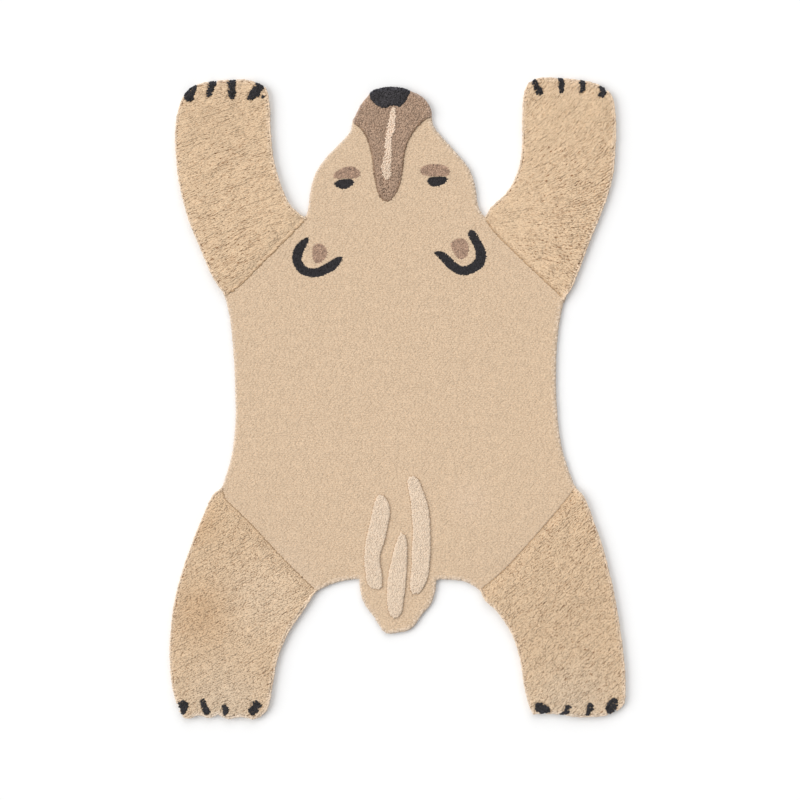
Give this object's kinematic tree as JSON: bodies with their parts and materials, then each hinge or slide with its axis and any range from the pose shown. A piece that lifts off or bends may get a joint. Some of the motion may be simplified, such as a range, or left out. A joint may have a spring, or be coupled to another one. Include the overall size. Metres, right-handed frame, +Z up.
{
  "type": "animal shaped kids rug",
  "caption": "Flat tufted wool rug in the outline of a bear lying on its belly, with short pile on head and torso, long lumpy pile on the limbs, and a raised muzzle and tail strips.",
  "frame": {"origin": "middle of the rug's outline, on the floor that it lies on", "axes": "+Y towards the head, +Z up out of the pile, +X to the right as seen from above, where the nodes named right are"},
  "size_m": [1.1416, 1.604, 0.0187],
  "materials": {
    "short_pile": "velvety short cut pile of sand coloured wool",
    "long_pile": "long, lumpy cut pile of sand coloured wool",
    "cream_pile": "dense cut pile of cream wool",
    "taupe_pile": "cut pile of grey brown wool",
    "charcoal_pile": "cut pile of charcoal wool"
  },
  "bodies": {
    "root": {"body": "short_pile", "arm_left": "long_pile", "arm_right": "long_pile", "leg_left": "long_pile", "leg_right": "long_pile", "muzzle": "taupe_pile", "nose": "charcoal_pile", "muzzle_stripe": "cream_pile", "brow_left": "taupe_pile", "brow_right": "taupe_pile", "eye_left": "charcoal_pile", "eye_right": "charcoal_pile", "ear_left": "charcoal_pile", "ear_right": "charcoal_pile", "inner_ear_left": "taupe_pile", "inner_ear_right": "taupe_pile", "tail_strip_left": "cream_pile", "tail_strip_middle": "cream_pile", "tail_strip_right": "cream_pile"}
  },
  "joints": []
}
